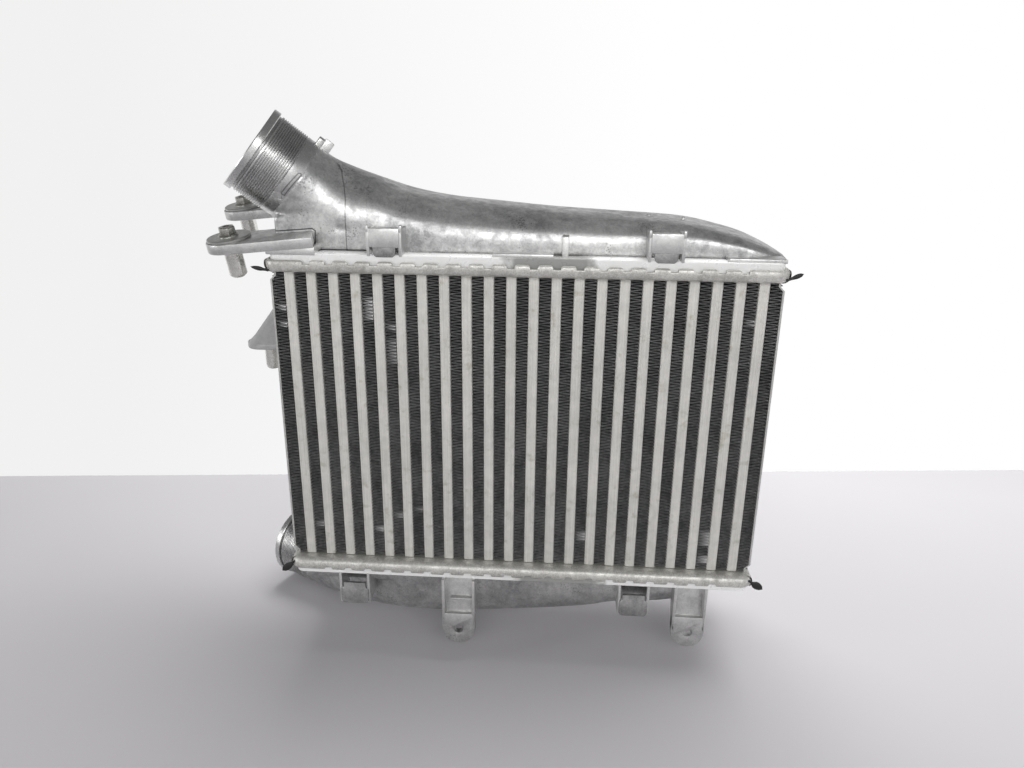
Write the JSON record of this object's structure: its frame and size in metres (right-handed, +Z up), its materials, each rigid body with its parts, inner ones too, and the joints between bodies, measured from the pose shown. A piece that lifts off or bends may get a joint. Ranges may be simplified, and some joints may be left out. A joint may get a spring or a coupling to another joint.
{
  "type": "intercooler",
  "caption": "Charge-air intercooler: flat tubes and folded fins between crimped headers and two cast tanks with round hose necks, mounting ears and pins.",
  "frame": {"origin": "centre of the left lower ear's hole, on the front face of the ear", "axes": "+X to the right across the tubes, +Y from the front face to the back, +Z up along the tubes"},
  "size_m": [0.4225, 0.1469, 0.4037],
  "materials": {
    "tube_aluminium": "satin",
    "fin_aluminium": "satin, dark with age",
    "plate_aluminium": "satin",
    "header_aluminium": "dull mill finish",
    "cast_aluminium": "as cast, with machined edges",
    "bracket_aluminium": "dull",
    "turned_steel": "turned",
    "plated_steel": "zinc plated",
    "black_rubber": "matte"
  },
  "bodies": {
    "root": {"fin_strip_01": "fin_aluminium", "fin_strip_02": "fin_aluminium", "fin_strip_03": "fin_aluminium", "fin_strip_04": "fin_aluminium", "fin_strip_05": "fin_aluminium", "fin_strip_06": "fin_aluminium", "fin_strip_07": "fin_aluminium", "fin_strip_08": "fin_aluminium", "fin_strip_09": "fin_aluminium", "fin_strip_10": "fin_aluminium", "fin_strip_11": "fin_aluminium", "fin_strip_12": "fin_aluminium", "fin_strip_13": "fin_aluminium", "fin_strip_14": "fin_aluminium", "fin_strip_15": "fin_aluminium", "fin_strip_16": "fin_aluminium", "fin_strip_17": "fin_aluminium", "fin_strip_18": "fin_aluminium", "fin_strip_19": "fin_aluminium", "fin_strip_20": "fin_aluminium", "fin_strip_21": "fin_aluminium", "fin_strip_22": "fin_aluminium", "fin_strip_23": "fin_aluminium", "front_locating_pin": "turned_steel", "lower_gasket": "black_rubber", "lower_header": "header_aluminium", "lower_tank": "cast_aluminium", "pin_bolts": "plated_steel", "pin_washers": "turned_steel", "rear_locating_pin": "turned_steel", "side_bracket": "bracket_aluminium", "side_pin": "turned_steel", "side_plate_left": "plate_aluminium", "side_plate_right": "plate_aluminium", "tube_01": "tube_aluminium", "tube_02": "tube_aluminium", "tube_03": "tube_aluminium", "tube_04": "tube_aluminium", "tube_05": "tube_aluminium", "tube_06": "tube_aluminium", "tube_07": "tube_aluminium", "tube_08": "tube_aluminium", "tube_09": "tube_aluminium", "tube_10": "tube_aluminium", "tube_11": "tube_aluminium", "tube_12": "tube_aluminium", "tube_13": "tube_aluminium", "tube_14": "tube_aluminium", "tube_15": "tube_aluminium", "tube_16": "tube_aluminium", "tube_17": "tube_aluminium", "tube_18": "tube_aluminium", "tube_19": "tube_aluminium", "tube_20": "tube_aluminium", "tube_21": "tube_aluminium", "tube_22": "tube_aluminium", "turbulators": "fin_aluminium", "upper_gasket": "black_rubber", "upper_header": "header_aluminium", "upper_tank": "cast_aluminium"}
  },
  "joints": []
}
